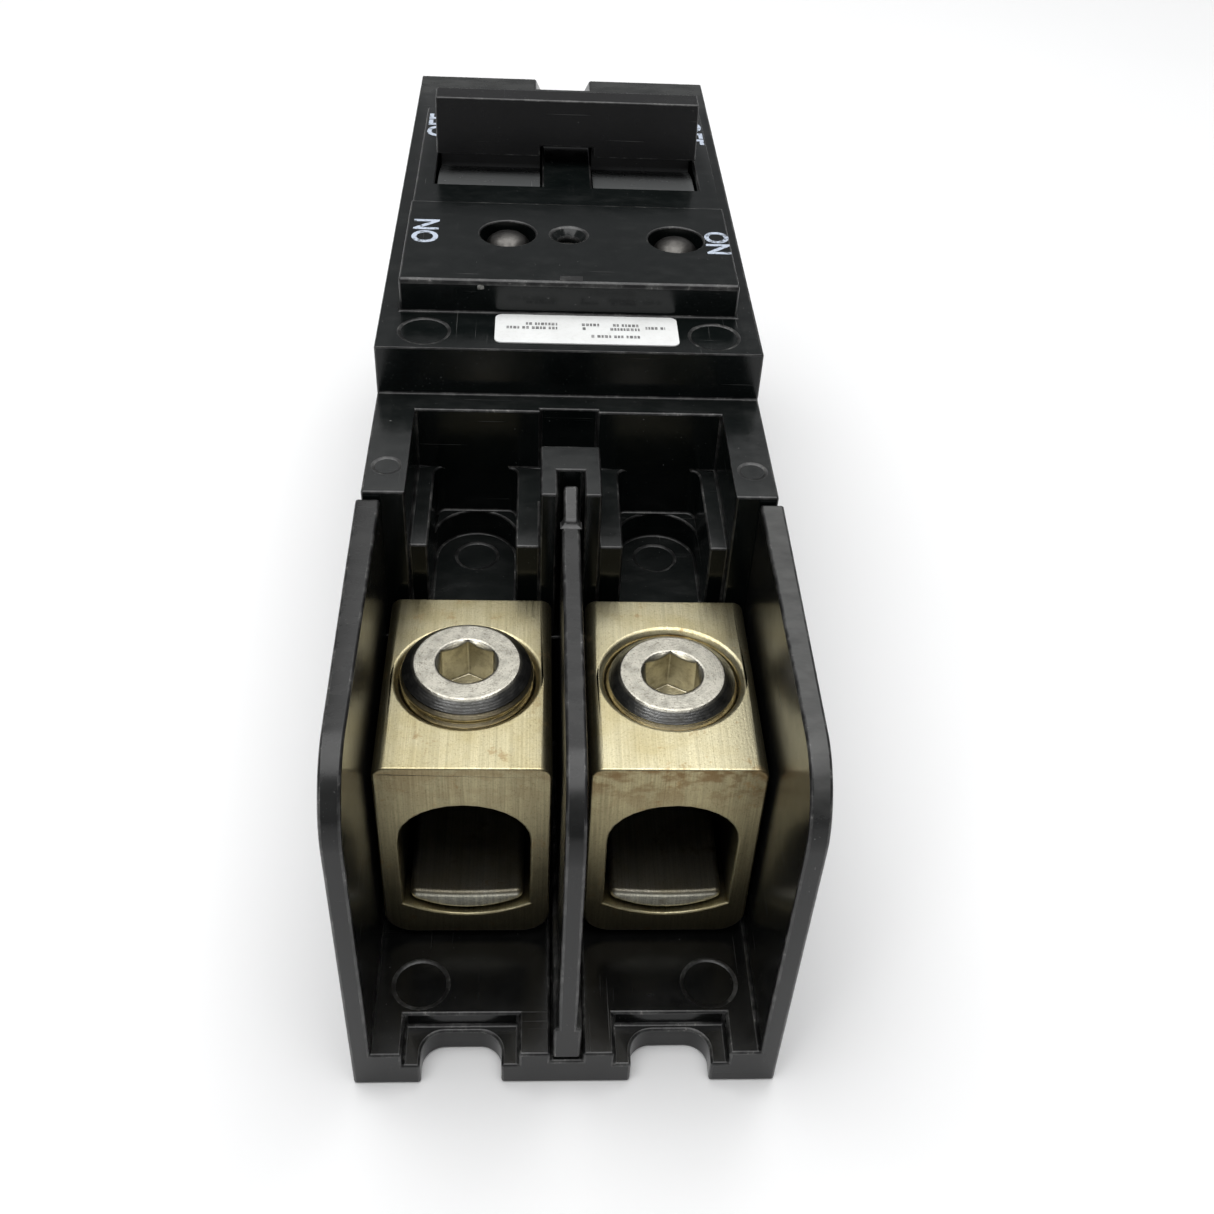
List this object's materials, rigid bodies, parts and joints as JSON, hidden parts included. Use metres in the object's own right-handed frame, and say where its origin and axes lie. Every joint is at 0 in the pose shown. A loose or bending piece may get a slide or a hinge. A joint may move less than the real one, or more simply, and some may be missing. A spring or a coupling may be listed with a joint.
{
  "type": "molded case circuit breaker",
  "caption": "Molded case breaker with box lugs in open bays at one end, a stepped cover, a wide ON/OFF bar handle and a trip mechanism inside.",
  "frame": {"origin": "centre of the case's footprint on its mounting plane", "axes": "+Z out of the panel, +Y from the lug end to the bus end, +X to the right seen from the lug end"},
  "size_m": [0.065, 0.2056, 0.0923],
  "materials": {
    "case": "moulded thermoset, slightly glossy, scuffed",
    "handle": "moulded, worn satin",
    "shaft": "moulded phenolic",
    "label": "printed film",
    "plated_lug": "plated, pale gold, drawn lines and stains",
    "screw": "dull turned",
    "rivet": "darkened dome",
    "steel": "zinc plated",
    "copper": "bare copper",
    "contact": "silver alloy",
    "fibre": "vulcanised fibre board"
  },
  "bodies": {
    "case": {"base_housing": "case", "cover": "case", "centre_barrier": "case", "handle_pin": "steel", "deck_screw": "steel", "rating_label": "label", "lug_left": "plated_lug", "lug_right": "plated_lug", "load_strap_left": "plated_lug", "load_strap_right": "plated_lug", "line_strap_left": "copper", "line_strap_right": "copper", "deck_rivet_left": "rivet", "deck_rivet_right": "rivet", "fixed_contact_left": "contact", "fixed_contact_right": "contact", "arc_chute_left": "fibre", "arc_chute_right": "fibre", "braid_left": "copper", "braid_right": "copper", "bimetal_left": "steel", "bimetal_right": "steel", "magnet_yoke_left": "steel", "magnet_yoke_right": "steel", "trim_screw_left": "steel", "trim_screw_right": "steel", "cradle_pin_left": "steel", "cradle_pin_right": "steel", "main_spring_left": "steel", "main_spring_right": "steel"},
    "handle_body": {"handle": "handle"},
    "crossbar_body": {"crossbar": "shaft", "contact_arm_left": "copper", "contact_arm_right": "copper", "moving_contact_left": "contact", "moving_contact_right": "contact"},
    "trip_bar_body": {"trip_bar": "shaft"},
    "armature_body_left": {"armature_left": "steel"},
    "armature_body_right": {"armature_right": "steel"},
    "cradle_body_left": {"cradle_left": "steel"},
    "cradle_body_right": {"cradle_right": "steel"},
    "screw_body_left": {"set_screw_left": "screw"},
    "screw_body_right": {"set_screw_right": "screw"}
  },
  "joints": [
    {"name": "handle_swing", "type": "hinge", "parent": "case", "child": "handle_body", "pos_m": [0, 0.03925, 0.038], "axis": [1, 0, 0], "range_deg": [0, 22], "deforming": ["main_spring_left", "main_spring_right"]},
    {"name": "crossbar_turn", "type": "hinge", "parent": "case", "child": "crossbar_body", "pos_m": [0, 0.02525, 0.027], "axis": [1, 0, 0], "range_deg": [-20, 0], "deforming": ["braid_left", "braid_right"]},
    {"name": "trip_bar_turn", "type": "hinge", "parent": "case", "child": "trip_bar_body", "pos_m": [0, -0.00075, 0.066], "axis": [1, 0, 0], "range_deg": [0, 8], "stiffness_Nm_per_rad": 0.03},
    {"name": "armature_turn_left", "type": "hinge", "parent": "case", "child": "armature_body_left", "pos_m": [-0.0154, -0.00405, 0.022], "axis": [1, 0, 0], "range_deg": [0, 4.5], "stiffness_Nm_per_rad": 0.03},
    {"name": "armature_turn_right", "type": "hinge", "parent": "case", "child": "armature_body_right", "pos_m": [0.0154, -0.00405, 0.022], "axis": [1, 0, 0], "range_deg": [0, 4.5], "stiffness_Nm_per_rad": 0.03},
    {"name": "cradle_drop_left", "type": "hinge", "parent": "case", "child": "cradle_body_left", "pos_m": [-0.01, 0.06925, 0.058], "axis": [1, 0, 0], "range_deg": [0, 14]},
    {"name": "cradle_drop_right", "type": "hinge", "parent": "case", "child": "cradle_body_right", "pos_m": [0.01, 0.06925, 0.058], "axis": [1, 0, 0], "range_deg": [0, 14]},
    {"name": "set_screw_travel_left", "type": "slide", "parent": "case", "child": "screw_body_left", "axis": [0, 0, 1], "range_m": [-0.02, 0.003]},
    {"name": "set_screw_travel_right", "type": "slide", "parent": "case", "child": "screw_body_right", "axis": [0, 0, 1], "range_m": [-0.018, 0.005]}
  ],
  "couplings": [
    {"joint": "crossbar_turn", "follows": "handle_swing", "ratio": -0.9},
    {"joint": "cradle_drop_right", "follows": "cradle_drop_left", "ratio": 1}
  ]
}
